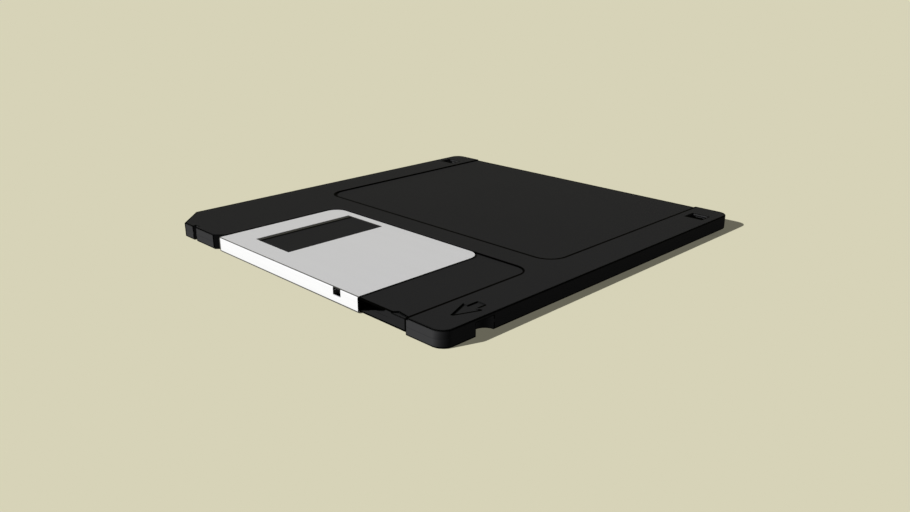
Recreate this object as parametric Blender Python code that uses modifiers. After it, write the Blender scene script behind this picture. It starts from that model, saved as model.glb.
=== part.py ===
"""A 90 mm floppy disk cartridge, modelled piece by piece in metres.

X runs across the width, Y from the shutter's edge to the rear edge, Z up. The origin is the middle of the
underside, which is also the point that the disc turns about.
"""

import math

import bmesh
import bpy
from mathutils import Matrix, Vector

MM = 0.001

# Case
CASE_WIDTH = 90.0 * MM
CASE_DEPTH = 94.0 * MM
CASE_THICKNESS = 3.3 * MM
CORNER_RADIUS = 2.5 * MM
CORNER_CHAMFER = 6.0 * MM
PLATE_THICKNESS = 0.95 * MM
SIDE_WALL = 1.2 * MM
FRONT_WALL = 1.0 * MM
PARTING_GAP = 0.04 * MM
EDGE_CHAMFER = 0.15 * MM

# Shutter and the recess that it slides in
SHEET = 0.2 * MM
SHUTTER_WIDTH = 47.3 * MM
SHUTTER_LEFT = -23.8 * MM
SHUTTER_CORNER_RADIUS = 3.0 * MM
SHUTTER_TRAVEL = 10.4 * MM
SHUTTER_SINK = 0.05 * MM
SHUTTER_CLEARANCE = 0.05 * MM
SHUTTER_BACK_GAP = 0.2 * MM
SHUTTER_END_GAP = 0.3 * MM
SHUTTER_LAP = 2.95 * MM
RECESS_SPARE = 2.04 * MM
FLANGE_CLEARANCE = 0.2 * MM
WINDOW_WIDTH = 11.05 * MM
WINDOW_BACK_SPARE = 0.85 * MM
WINDOW_LEFT_MARGIN = 7.7 * MM
LEFT_NOTCH = 2.3 * MM
FOLD_STEPS = 3

# Tab lanced out of the flange, and the slot in the case that it runs in
TAB_FROM_RIGHT = 7.0 * MM
TAB_LENGTH = 2.1 * MM
TAB_HEIGHT = 0.7 * MM
TAB_KERF = 0.15 * MM
TAB_CLEARANCE = 0.35 * MM
TAB_SLOT_ROOF = 0.35 * MM
TAB_SLOT_SILL = 0.4 * MM
TAB_SLOT_RAMP = 6.6 * MM

# Disc, hub and what lines the case
DISC_THICKNESS = 0.08 * MM
DISC_RIM_GAP = 0.7 * MM
RIM_RIB = 0.7 * MM
RIM_RIB_PROUD = 0.2 * MM
HEAD_WINDOW_WIDTH = 9.0 * MM
HEAD_WINDOW_RIM = 0.9 * MM
HEAD_WINDOW_HUB_GAP = 4.95 * MM
HUB_OPENING_RADIUS = 13.25 * MM
HUB_CLEARANCE = 0.8 * MM
HUB_SHEET = 0.3 * MM
HUB_FLANGE = 2.05 * MM
HUB_SINK = 0.3 * MM
HUB_FILLET = 0.3 * MM
HUB_SQUARE = 4.0 * MM
DRIVE_SLOT_LENGTH = 8.0 * MM
DRIVE_SLOT_WIDTH = 3.4 * MM
DRIVE_SLOT_RADIUS = 8.6 * MM
DISC_BORE_CLEARANCE = 0.25 * MM
GLUE_THICKNESS = 0.1 * MM
GLUE_MARGIN = 0.2 * MM
LINER_THICKNESS = 0.3 * MM
LINER_BORE_GAP = 1.5 * MM
LINER_RIM_GAP = 1.0 * MM
LINER_SLOT_MARGIN = 1.0 * MM
SEAT_GAP = 0.02 * MM
LIP_WIDTH = 0.8 * MM
LIP_HEIGHT = 0.4 * MM
LIFTER_THICKNESS = 0.12 * MM
LIFTER_WIDTH = 12.0 * MM
LIFTER_FROM_RIB = 8.1 * MM
LIFTER_LEFT = 8.5 * MM
LIFTER_BACK = 15.5 * MM
LIFTER_CLEARANCE = 0.2 * MM
LIFTER_FRAME = 2.0 * MM
LIFTER_SLIT = 0.6 * MM
BUTTON_RADIUS = 5.0 * MM
BUTTON_THICKNESS = 0.4 * MM
BUTTON_GAP = 0.25 * MM
BOSS_MARGIN = 0.6 * MM

# Label area, arrow and the moulded features of the edges
LABEL_WIDTH = 72.5 * MM
LABEL_GAP = 6.5 * MM
LABEL_DEPTH = 0.28 * MM
LABEL_CORNER_RADIUS = 4.0 * MM
LABEL_WRAP = 14.0 * MM
ARROW_FROM_RIGHT = 4.15 * MM
ARROW_FROM_FRONT = 6.0 * MM
ARROW_HEAD_LENGTH = 5.0 * MM
ARROW_HEAD_WIDTH = 4.0 * MM
ARROW_STEM_LENGTH = 2.35 * MM
ARROW_STEM_WIDTH = 1.9 * MM
ARROW_DEPTH = 0.25 * MM
EDGE_SLOT_FROM_LEFT = 10.4 * MM
EDGE_SLOT_WIDTH = 1.5 * MM
EDGE_SLOT_DEPTH = 0.9 * MM
GRIP_NOTCH_RADIUS = 2.25 * MM
GRIP_NOTCH_FROM_FRONT = 9.95 * MM
GRIP_NOTCH_ROOF = 0.65 * MM
NOTCH_WALL = 0.9 * MM
RELIEF_LENGTH = 4.6 * MM
RELIEF_REACH = 1.4 * MM
RELIEF_DEPTH = 0.3 * MM

# Corner holes, locating holes and the write-protect slider
HOLE_FROM_SIDE = 4.25 * MM
HOLE_FROM_REAR = 7.3 * MM
HOLE_WIDTH = 4.1 * MM
HOLE_LENGTH = 3.3 * MM
HOLE_WALL = 0.8 * MM
HOLE_RIM = 0.5 * MM
HOLE_STEP = 0.4 * MM
LOCATING_FROM_SIDE = 5.0 * MM
LOCATING_FROM_HUB = 31.0 * MM
LOCATING_SIZE = 3.6 * MM
LOCATING_SLOT_LENGTH = 4.4 * MM
SLIDER_LAP = 0.35 * MM
SLIDER_TRAVEL = 3.7 * MM
SLIDER_CLEARANCE = 0.1 * MM
SLIDER_END_GAP = 0.15 * MM
SLIDER_SINK = 0.12 * MM
SLIDER_RAIL = 0.6 * MM
SLIDER_TAPER = 0.05 * MM
SLIDER_LIFT = 0.04 * MM
THUMB_GROOVE_WIDTH = 0.7 * MM
THUMB_GROOVE_DEPTH = 0.4 * MM
THUMB_GROOVES = 2

# Weld posts and the spring
POST_RADIUS = 0.7 * MM
POST_CLEARANCE = 0.1 * MM
POST_SOCKET_WALL = 0.6 * MM
POST_FROM_SIDE = 11.5 * MM
POST_FROM_REAR = 4.5 * MM
POST_FROM_FRONT = 5.3 * MM
FRONT_POST_FROM_SIDE = 4.2 * MM
WIRE_RADIUS = 0.18 * MM
COIL_RADIUS = 1.8 * MM
COIL_TURNS = 2
COIL_FROM_RIB = 0.858 * MM
SPRING_ANCHOR_FROM_RIGHT = 6.0 * MM
SPRING_STOP = 0.8 * MM
WIRE_CLEARANCE = 0.05 * MM

ROUND_STEPS = 96
SMALL_ROUND_STEPS = 32
CORNER_STEPS = 6
COIL_STEPS = 12
SHARP_ANGLE = math.radians(30.0)
CUT_REACH = 2.0 * MM
JOIN_LAP = 0.1 * MM

# Levels
TOP = CASE_THICKNESS
MIDDLE = CASE_THICKNESS / 2
FLOOR = PLATE_THICKNESS
CEILING = TOP - PLATE_THICKNESS
LOWER_RIM = MIDDLE - PARTING_GAP / 2
UPPER_RIM = MIDDLE + PARTING_GAP / 2
RECESS_DEPTH = SHUTTER_SINK + SHEET + SHUTTER_CLEARANCE
LOWER_RECESS = RECESS_DEPTH
UPPER_RECESS = TOP - RECESS_DEPTH
SLOT_TOP = UPPER_RECESS - TAB_SLOT_ROOF
TAB_HIGH = SLOT_TOP - TAB_KERF
TAB_LOW = TAB_HIGH - TAB_HEIGHT
DISC_LOW = MIDDLE - DISC_THICKNESS / 2
DISC_HIGH = MIDDLE + DISC_THICKNESS / 2
GLUE_LOW = DISC_HIGH + SEAT_GAP
GLUE_HIGH = GLUE_LOW + GLUE_THICKNESS
HUB_FLANGE_LOW = GLUE_HIGH + SEAT_GAP
HUB_FLANGE_HIGH = HUB_FLANGE_LOW + HUB_SHEET
HUB_PLATE_TOP = HUB_SINK + HUB_SHEET
BUTTON_LOW = HUB_PLATE_TOP + BUTTON_GAP
BUTTON_HIGH = BUTTON_LOW + BUTTON_THICKNESS

# Places across the case
LEFT = -CASE_WIDTH / 2
RIGHT = CASE_WIDTH / 2
FRONT = -CASE_DEPTH / 2
REAR = CASE_DEPTH / 2
SHUTTER_RIGHT = SHUTTER_LEFT + SHUTTER_WIDTH
RECESS_LEFT = SHUTTER_LEFT - SHUTTER_END_GAP
RECESS_RIGHT = SHUTTER_RIGHT + SHUTTER_TRAVEL + SHUTTER_END_GAP + RECESS_SPARE
FLANGE_FRONT = FRONT + SHUTTER_SINK
FLANGE_BACK = FLANGE_FRONT + SHEET
RECESS_FRONT = FLANGE_BACK + FLANGE_CLEARANCE
CAVITY_FRONT = RECESS_FRONT + FRONT_WALL
RIB_INNER = min(CASE_WIDTH / 2 - SIDE_WALL, -CAVITY_FRONT) - RIM_RIB_PROUD
LIFTER_LENGTH = RIB_INNER - LIFTER_FROM_RIB - LIFTER_BACK
DISC_RADIUS = RIB_INNER - DISC_RIM_GAP
WINDOW_FRONT = -(DISC_RADIUS - HEAD_WINDOW_RIM)
WINDOW_BACK = -(HUB_OPENING_RADIUS + HEAD_WINDOW_HUB_GAP)
SHUTTER_BACK = WINDOW_BACK + SHUTTER_LAP
RECESS_BACK = SHUTTER_BACK + SHUTTER_BACK_GAP
WINDOW_LEFT = SHUTTER_LEFT + WINDOW_LEFT_MARGIN
HUB_RADIUS = HUB_OPENING_RADIUS - HUB_CLEARANCE
HUB_FLANGE_RADIUS = HUB_RADIUS + HUB_FLANGE
DISC_BORE = HUB_RADIUS + DISC_BORE_CLEARANCE
LINER_BORE = HUB_FLANGE_RADIUS + LINER_BORE_GAP
LINER_RADIUS = RIB_INNER - LINER_RIM_GAP
LABEL_FRONT = RECESS_BACK + LABEL_GAP
TAB_LEFT = SHUTTER_RIGHT - TAB_FROM_RIGHT
TAB_SLOT_LEFT = TAB_LEFT - TAB_CLEARANCE
HOLE_X = RIGHT - HOLE_FROM_SIDE
HOLE_Y = REAR - HOLE_FROM_REAR
SPRING_ANCHOR = Vector((RIGHT - SPRING_ANCHOR_FROM_RIGHT, CAVITY_FRONT + WIRE_RADIUS + WIRE_CLEARANCE))
SPRING_TIP = Vector((TAB_LEFT + WIRE_RADIUS + WIRE_CLEARANCE, SPRING_ANCHOR.y))


# Scene and materials

def empty_scene():
    for thing in list(bpy.data.objects):
        bpy.data.objects.remove(thing, do_unlink=True)
    for group in list(bpy.data.collections):
        bpy.data.collections.remove(group)


def new_collection(name):
    group = bpy.data.collections.new(name)
    bpy.context.scene.collection.children.link(group)
    return group


def new_material(name, colour, roughness, metallic=0.0):
    made = bpy.data.materials.new(name)
    made.use_nodes = True
    shader = made.node_tree.nodes["Principled BSDF"]
    shader.inputs["Base Color"].default_value = (*colour, 1.0)
    shader.inputs["Roughness"].default_value = roughness
    shader.inputs["Metallic"].default_value = metallic
    return made


empty_scene()
PIECES = new_collection("floppy_disk")
TOOLS = new_collection("cutters")


# Shapes

def mesh_object(name, shape, group):
    mesh = bpy.data.meshes.new(name)
    bmesh.ops.recalc_face_normals(shape, faces=shape.faces)
    shape.to_mesh(mesh)
    shape.free()
    thing = bpy.data.objects.new(name, mesh)
    group.objects.link(thing)
    return thing


def box(name, low, high, group=TOOLS):
    low, high = Vector(low), Vector(high)
    shape = bmesh.new()
    place = Matrix.Translation((low + high) / 2) @ Matrix.Diagonal((*(high - low), 1.0))
    bmesh.ops.create_cube(shape, size=1.0, matrix=place)
    return mesh_object(name, shape, group)


def rod(name, centre, radius, low, high, steps=SMALL_ROUND_STEPS):
    """A cylinder along Z."""
    shape = bmesh.new()
    place = Matrix.Translation((centre[0], centre[1], (low + high) / 2))
    bmesh.ops.create_cone(shape, cap_ends=True, segments=steps, radius1=radius, radius2=radius,
                          depth=high - low, matrix=place)
    return mesh_object(name, shape, TOOLS)


def arc(centre, radius, start, end, steps=CORNER_STEPS):
    """Points along an arc in the XY plane, its angles in degrees."""
    found = []
    for step in range(steps + 1):
        angle = math.radians(start + (end - start) * step / steps)
        found.append((centre[0] + radius * math.cos(angle), centre[1] + radius * math.sin(angle)))
    return found


def flat_solid(name, loops, low, high, group=TOOLS):
    """A flat outline, with inner loops as holes, extruded between two levels."""
    curve = bpy.data.curves.new(name, "CURVE")
    curve.dimensions = "2D"
    curve.fill_mode = "BOTH"
    curve.extrude = (high - low) / 2
    for points in loops:
        spline = curve.splines.new("POLY")
        spline.points.add(len(points) - 1)
        for point, (x, y) in zip(spline.points, points):
            point.co = (x, y, 0.0, 1.0)
        spline.use_cyclic_u = True
    drawn = bpy.data.objects.new(name + "_outline", curve)
    TOOLS.objects.link(drawn)
    drawn.location.z = (low + high) / 2
    return meshed(name, drawn, group)


def meshed(name, drawn, group):
    """The curve object as a closed mesh object, with its loose caps welded on."""
    bpy.context.view_layer.update()
    evaluated = drawn.evaluated_get(bpy.context.evaluated_depsgraph_get())
    mesh = bpy.data.meshes.new_from_object(evaluated)
    mesh.name = name
    shape = bmesh.new()
    shape.from_mesh(mesh)
    bmesh.ops.remove_doubles(shape, verts=shape.verts, dist=0.001 * MM)
    bmesh.ops.recalc_face_normals(shape, faces=shape.faces)
    shape.to_mesh(mesh)
    shape.free()
    thing = bpy.data.objects.new(name, mesh)
    thing.matrix_world = drawn.matrix_world.copy()
    group.objects.link(thing)
    bpy.data.objects.remove(drawn, do_unlink=True)
    return thing


def ring(name, inner, outer, low, high, group=TOOLS):
    full = ROUND_STEPS - 1
    turn = 360.0 * full / ROUND_STEPS
    loops = [arc((0.0, 0.0), outer, 0.0, turn, full), arc((0.0, 0.0), inner, 0.0, turn, full)]
    return flat_solid(name, loops, low, high, group)


def turned(name, profile, steps, group):
    """A profile in the XZ plane, turned about Z with a Screw modifier."""
    shape = bmesh.new()
    points = [shape.verts.new((r, 0.0, z)) for r, z in profile]
    for first, second in zip(points, points[1:]):
        shape.edges.new((first, second))
    mesh = bpy.data.meshes.new(name)
    shape.to_mesh(mesh)
    shape.free()
    thing = bpy.data.objects.new(name, mesh)
    group.objects.link(thing)
    screw = thing.modifiers.new("turn", "SCREW")
    screw.steps = steps
    screw.render_steps = steps
    screw.use_merge_vertices = True
    screw.merge_threshold = 0.001 * MM
    screw.use_normal_calculate = True
    return thing


def combine(target, tool, operation):
    step = target.modifiers.new(operation.lower() + "_" + tool.name, "BOOLEAN")
    step.operation = operation
    step.solver = "EXACT"
    step.object = tool
    tool.hide_render = True
    tool.display_type = "WIRE"


def cut(target, *tools):
    for tool in tools:
        combine(target, tool, "DIFFERENCE")


def join(target, *tools):
    for tool in tools:
        combine(target, tool, "UNION")


def finish(thing, material):
    """Applies the piece's cuts and joins, then shades it smooth with its real edges sharp."""
    bpy.context.view_layer.update()
    evaluated = thing.evaluated_get(bpy.context.evaluated_depsgraph_get())
    mesh = bpy.data.meshes.new_from_object(evaluated)
    used = [step.object for step in thing.modifiers if step.type == "BOOLEAN"]
    thing.modifiers.clear()
    thing.data = mesh
    mesh.name = thing.name
    for tool in used:
        bpy.data.objects.remove(tool, do_unlink=True)
    mesh.materials.clear()
    mesh.materials.append(material)
    mesh.shade_smooth()
    mesh.set_sharp_from_angle(angle=SHARP_ANGLE)


# Outlines in plan

def case_outline(inset=0.0, front=FRONT):
    """The case in plan: three rounded corners, and one cut off at 45 degrees."""
    left, right, rear = LEFT + inset, RIGHT - inset, REAR - inset
    radius = max(CORNER_RADIUS - inset, 0.3 * MM)
    diagonal = LEFT + FRONT + CORNER_CHAMFER + inset * math.sqrt(2.0)
    points = arc((right - radius, front + radius), radius, -90.0, 0.0)
    points += arc((right - radius, rear - radius), radius, 0.0, 90.0)
    points += arc((left + radius, rear - radius), radius, 90.0, 180.0)
    points += [(left, diagonal - left), (diagonal - front, front)]
    return points


def rounded_back(left, right, front, back, radius):
    """A rectangle whose two corners at the back are rounded."""
    points = [(left, front), (right, front)]
    points += arc((right - radius, back - radius), radius, 0.0, 90.0)
    points += arc((left + radius, back - radius), radius, 90.0, 180.0)
    return points


def rounded_front(left, right, front, back, radius):
    """A rectangle whose two corners at the front are rounded."""
    points = arc((left + radius, front + radius), radius, 180.0, 270.0)
    points += arc((right - radius, front + radius), radius, 270.0, 360.0)
    points += [(right, back), (left, back)]
    return points


def arrow_outline():
    """An arrow that points to the front edge."""
    middle = RIGHT - ARROW_FROM_RIGHT
    tip = FRONT + ARROW_FROM_FRONT
    shoulder = tip + ARROW_HEAD_LENGTH
    end = shoulder + ARROW_STEM_LENGTH
    half_head, half_stem = ARROW_HEAD_WIDTH / 2, ARROW_STEM_WIDTH / 2
    return [
        (middle, tip),
        (middle + half_head, shoulder),
        (middle + half_stem, shoulder),
        (middle + half_stem, end),
        (middle - half_stem, end),
        (middle - half_stem, shoulder),
        (middle - half_head, shoulder),
    ]


def centred_rectangle(x, y, width, length):
    half_width, half_length = width / 2, length / 2
    return [
        (x - half_width, y - half_length),
        (x + half_width, y - half_length),
        (x + half_width, y + half_length),
        (x - half_width, y + half_length),
    ]


# What both halves of the case share

def weld_places():
    """The weld posts: two at the rear, one by the cut corner and one in the front right corner."""
    across = CASE_WIDTH / 2 - POST_FROM_SIDE
    along = REAR - POST_FROM_REAR
    front = FRONT + POST_FROM_FRONT
    return [
        (-across, along),
        (across, along),
        (-across, front),
        (RIGHT - FRONT_POST_FROM_SIDE, front),
    ]


def grip_places():
    along = FRONT + GRIP_NOTCH_FROM_FRONT
    return [(LEFT, along), (RIGHT, along)]


def shutter_recess(name, low, high):
    """The shallow bed that a leg of the shutter slides in."""
    outline = rounded_back(RECESS_LEFT, RECESS_RIGHT, FRONT - CUT_REACH, RECESS_BACK,
                           SHUTTER_CORNER_RADIUS + SHUTTER_BACK_GAP)
    return flat_solid(name, [outline], low, high)


def front_step(name):
    """What the front wall gives up so that the flange lies flush, with the 45 degree nick on its left."""
    nick = RECESS_LEFT - LEFT_NOTCH - CUT_REACH
    inner = SHUTTER_LEFT + SHEET
    outline = [
        (nick, FRONT - CUT_REACH),
        (RECESS_RIGHT, FRONT - CUT_REACH),
        (RECESS_RIGHT, RECESS_FRONT),
        (inner, RECESS_FRONT),
        (inner, FRONT + LEFT_NOTCH),
        (RECESS_LEFT, FRONT + LEFT_NOTCH),
    ]
    return flat_solid(name, [outline], -CUT_REACH, TOP + CUT_REACH)


def tab_slot(name):
    """The slot that the tab runs in: a flat sill under the shutter, then a ramp up to its roof."""
    sill = LOWER_RECESS + TAB_SLOT_SILL
    profile = [
        (TAB_SLOT_LEFT, SLOT_TOP),
        (TAB_SLOT_LEFT, sill),
        (SHUTTER_RIGHT + TAB_CLEARANCE, sill),
        (SHUTTER_RIGHT + TAB_CLEARANCE + TAB_SLOT_RAMP, SLOT_TOP),
    ]
    depth = FRONT_WALL + CUT_REACH
    thing = flat_solid(name, [profile], -depth / 2, depth / 2)
    thing.matrix_world = (Matrix.Translation((0.0, CAVITY_FRONT + JOIN_LAP - depth / 2, 0.0))
                          @ Matrix.Rotation(math.radians(90.0), 4, "X"))
    return thing


def head_window(name):
    half = HEAD_WINDOW_WIDTH / 2
    return box(name, (-half, WINDOW_FRONT, -CUT_REACH), (half, WINDOW_BACK, TOP + CUT_REACH))


def edge_slot(name):
    middle = LEFT + EDGE_SLOT_FROM_LEFT
    half = EDGE_SLOT_WIDTH / 2
    return box(name, (middle - half, FRONT - CUT_REACH, -CUT_REACH),
               (middle + half, FRONT + EDGE_SLOT_DEPTH, TOP + CUT_REACH))


def density_wall(name, low, high):
    """The sleeve about the density hole, which runs into the side wall."""
    right = -HOLE_X + HOLE_WIDTH / 2 + HOLE_WALL
    reach = HOLE_LENGTH / 2 + HOLE_WALL
    return box(name, (LEFT + SIDE_WALL / 2, HOLE_Y - reach, low), (right, HOLE_Y + reach, high))


def label_recess(name, front, low, high):
    half = LABEL_WIDTH / 2
    outline = rounded_front(-half, half, front, REAR + CUT_REACH, LABEL_CORNER_RADIUS)
    return flat_solid(name, [outline], low, high)


def shell_body(name, low, high, plate_low, plate_high, bevel_top):
    """One half of the case: a plate with its side walls and the round rib about the disc."""
    body = flat_solid(name, [case_outline()], low, high, PIECES)
    soften_outer_edge(body, high if bevel_top else low)
    cavity_low, cavity_high = (low - CUT_REACH, plate_low) if bevel_top else (plate_high, high + CUT_REACH)
    cavity = flat_solid(name + "_cavity", [case_outline(SIDE_WALL, CAVITY_FRONT)], cavity_low, cavity_high)
    cut(body, cavity)
    join_low, join_high = (low, plate_low + JOIN_LAP) if bevel_top else (plate_high - JOIN_LAP, high)
    join(body, ring(name + "_rim_rib", RIB_INNER, RIB_INNER + RIM_RIB, join_low, join_high))
    for number, place in enumerate(grip_places()):
        wall = flat_solid(f"{name}_grip_wall_{number}", [clipped_round(place)], join_low, join_high)
        join(body, wall)
    pad = box(name + "_nick_pad",
              (RECESS_LEFT - LEFT_NOTCH, CAVITY_FRONT - JOIN_LAP, join_low),
              (RECESS_LEFT + LEFT_NOTCH, FRONT + LEFT_NOTCH + NOTCH_WALL, join_high))
    join(body, pad)
    return body


def clipped_round(place):
    """The wall about a grip notch, as far as the middle of the side wall."""
    radius = GRIP_NOTCH_RADIUS + NOTCH_WALL
    spread = math.degrees(math.acos(SIDE_WALL / 2 / radius))
    inward = 180.0 if place[0] > 0 else 0.0
    return arc(place, radius, inward - spread, inward + spread, 2 * CORNER_STEPS)


def soften_outer_edge(body, level):
    """A small chamfer round the outline's edge at one level."""
    shape = bmesh.new()
    shape.from_mesh(body.data)
    bmesh.ops.dissolve_limit(shape, angle_limit=math.radians(1.0), verts=shape.verts, edges=shape.edges)
    local = level - body.matrix_world.translation.z
    near = 0.01 * MM
    edges = []
    for edge in shape.edges:
        flat = all(abs(end.co.z - local) < near for end in edge.verts)
        if flat and any(abs(face.normal.z) < 0.5 for face in edge.link_faces):
            edges.append(edge)
    bmesh.ops.bevel(shape, geom=edges, offset=EDGE_CHAMFER, offset_type="OFFSET", segments=1,
                    affect="EDGES", profile=0.5)
    shape.to_mesh(body.data)
    shape.free()


# Case halves

def lower_shell(material):
    body = shell_body("lower_shell", 0.0, LOWER_RIM, 0.0, FLOOR, False)
    above = LOWER_RIM + CUT_REACH
    base = FLOOR - JOIN_LAP

    lip_inner, lip_outer = HUB_OPENING_RADIUS - JOIN_LAP, HUB_OPENING_RADIUS + LIP_WIDTH
    lip = ring("hub_lip", lip_inner, lip_outer, base, FLOOR + LIP_HEIGHT)
    join(body, lip)
    for number, (x, y) in enumerate(weld_places()):
        join(body, rod(f"weld_post_{number}", (x, y), POST_RADIUS, base, CEILING - POST_CLEARANCE))
    for side in (-1, 1):
        wall = flat_solid(f"locating_wall_{side}", [locating_outline(side, HOLE_WALL)], base, LOWER_RIM)
        join(body, wall)
    join(body, density_wall("density_wall_low", base, LOWER_RIM))
    join(body, spring_stop())

    cut(body, shutter_recess("lower_recess", -CUT_REACH, LOWER_RECESS))
    cut(body, front_step("lower_front_step"))
    cut(body, tab_slot("lower_tab_slot"))
    cut(body, head_window("lower_head_window"))
    cut(body, edge_slot("lower_edge_slot"))
    cut(body, rod("hub_opening", (0.0, 0.0), HUB_OPENING_RADIUS, -CUT_REACH, above, steps=ROUND_STEPS))
    cut(body, label_recess("label_wrap", REAR - LABEL_WRAP, -CUT_REACH, LABEL_DEPTH))
    for number, place in enumerate(grip_places()):
        cut(body, rod(f"lower_grip_notch_{number}", place, GRIP_NOTCH_RADIUS, -CUT_REACH, above))
    for side in (-1, 1):
        cut(body, flat_solid(f"locating_hole_{side}", [locating_outline(side, 0.0)], -CUT_REACH, above))
    hole = centred_rectangle(-HOLE_X, HOLE_Y, HOLE_WIDTH, HOLE_LENGTH)
    cut(body, flat_solid("density_hole_low", [hole], -CUT_REACH, above))
    cut(body, slider_slot())
    cut(body, lifter_pocket())
    finish(body, material)
    return body


def locating_outline(side, wall):
    """The round locating hole on the left, and the slot on the right that takes up its tolerance."""
    x, y = side * (RIGHT - LOCATING_FROM_SIDE), LOCATING_FROM_HUB
    radius = LOCATING_SIZE / 2 + wall
    offset = (LOCATING_SLOT_LENGTH - LOCATING_SIZE) / 2 if side > 0 else 0.0
    steps = 2 * CORNER_STEPS
    if not offset:
        return arc((x, y), radius, 0.0, 360.0 - 360.0 / SMALL_ROUND_STEPS, SMALL_ROUND_STEPS - 1)
    return (arc((x + offset, y), radius, -90.0, 90.0, steps)
            + arc((x - offset, y), radius, 90.0, 270.0, steps))


def slider_slot():
    """The slot in the floor that the slider's body runs in."""
    half = HOLE_WIDTH / 2
    front, back = slider_ends()
    return box("slider_slot", (HOLE_X - half, front - SLIDER_END_GAP, -CUT_REACH),
               (HOLE_X + half, back + SLIDER_TRAVEL + SLIDER_END_GAP, FLOOR + CUT_REACH))


def slider_ends():
    """Front and back of the slider where it covers the hole."""
    reach = HOLE_LENGTH / 2 + SLIDER_LAP
    return HOLE_Y - reach, HOLE_Y + reach


def lifter_pocket():
    low = FLOOR - LIFTER_THICKNESS - SEAT_GAP
    gap = LIFTER_CLEARANCE
    return box("lifter_pocket",
               (LIFTER_LEFT - gap, -LIFTER_BACK - LIFTER_LENGTH - gap, low),
               (LIFTER_LEFT + LIFTER_WIDTH + gap, -LIFTER_BACK + gap, FLOOR + CUT_REACH))


def spring_stop():
    """The peg that the spring's fixed end pushes against."""
    left = SPRING_ANCHOR.x + WIRE_RADIUS + WIRE_CLEARANCE
    return box("spring_stop", (left, CAVITY_FRONT - JOIN_LAP, FLOOR - JOIN_LAP),
               (left + SPRING_STOP, CAVITY_FRONT + SPRING_STOP, LOWER_RIM))


def upper_shell(material):
    body = shell_body("upper_shell", UPPER_RIM, TOP, CEILING, TOP, True)
    below = UPPER_RIM - CUT_REACH
    roof = CEILING + JOIN_LAP

    boss = rod("button_boss", (0.0, 0.0), BUTTON_RADIUS + BOSS_MARGIN, BUTTON_HIGH + SEAT_GAP, roof)
    join(body, boss)
    for number, place in enumerate(weld_places()):
        outer = POST_RADIUS + POST_CLEARANCE + POST_SOCKET_WALL
        join(body, rod(f"weld_socket_{number}", place, outer, UPPER_RIM, roof))
    join(body, density_wall("density_wall_high", UPPER_RIM, roof))

    cut(body, shutter_recess("upper_recess", UPPER_RECESS, TOP + CUT_REACH))
    cut(body, front_step("upper_front_step"))
    cut(body, tab_slot("upper_tab_slot"))
    cut(body, tab_pocket())
    cut(body, relief())
    cut(body, head_window("upper_head_window"))
    cut(body, edge_slot("upper_edge_slot"))
    cut(body, label_recess("label_bed", LABEL_FRONT, TOP - LABEL_DEPTH, TOP + CUT_REACH))
    cut(body, flat_solid("arrow", [arrow_outline()], TOP - ARROW_DEPTH, TOP + CUT_REACH))
    for number, place in enumerate(grip_places()):
        notch = rod(f"upper_grip_notch_{number}", place, GRIP_NOTCH_RADIUS, below, TOP - GRIP_NOTCH_ROOF)
        cut(body, notch)
    for number, place in enumerate(weld_places()):
        cut(body, rod(f"weld_bore_{number}", place, POST_RADIUS + POST_CLEARANCE, below, CEILING))
    for side in (-1, 1):
        hole = centred_rectangle(side * HOLE_X, HOLE_Y, HOLE_WIDTH, HOLE_LENGTH)
        cut(body, flat_solid(f"corner_hole_{side}", [hole], below, TOP + CUT_REACH))
        wide, long = HOLE_WIDTH + 2 * HOLE_STEP, HOLE_LENGTH + 2 * HOLE_STEP
        wider = centred_rectangle(side * HOLE_X, HOLE_Y, wide, long)
        cut(body, flat_solid(f"corner_bore_{side}", [wider], below, TOP - HOLE_RIM))
    finish(body, material)
    return body


def tab_pocket():
    """Room above the cavity for the tab, all along its travel."""
    right = TAB_LEFT + SHUTTER_TRAVEL + TAB_CLEARANCE
    back = FLANGE_BACK + TAB_LENGTH + TAB_CLEARANCE
    return box("tab_pocket", (TAB_SLOT_LEFT, CAVITY_FRONT - JOIN_LAP, UPPER_RIM - CUT_REACH),
               (right, back, SLOT_TOP))


def relief():
    """The shallow three-cornered relief in the bed's front edge, by the corner block."""
    left = RECESS_RIGHT - RELIEF_LENGTH
    outline = [
        (left - CUT_REACH, FRONT - CUT_REACH),
        (RECESS_RIGHT, FRONT - CUT_REACH),
        (RECESS_RIGHT, FRONT + RELIEF_REACH * 2 / 3),
        (left + RELIEF_REACH, FRONT + RELIEF_REACH),
    ]
    return flat_solid("relief", [outline], UPPER_RECESS - RELIEF_DEPTH, UPPER_RECESS + JOIN_LAP)


# Shutter

def shutter_profile():
    """The middle of the folded sheet, seen from its end: top leg, front flange, bottom leg."""
    half = SHEET / 2
    fold = SHEET
    top, low = TOP - SHUTTER_SINK - half, SHUTTER_SINK + half
    front = FLANGE_FRONT + half
    end = SHUTTER_BACK + CUT_REACH
    points = [(end, top)]
    points += arc((front + fold, top - fold), fold, 90.0, 180.0, FOLD_STEPS)
    points += arc((front + fold, low + fold), fold, 180.0, 270.0, FOLD_STEPS)
    points += [(end, low)]
    return points


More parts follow.
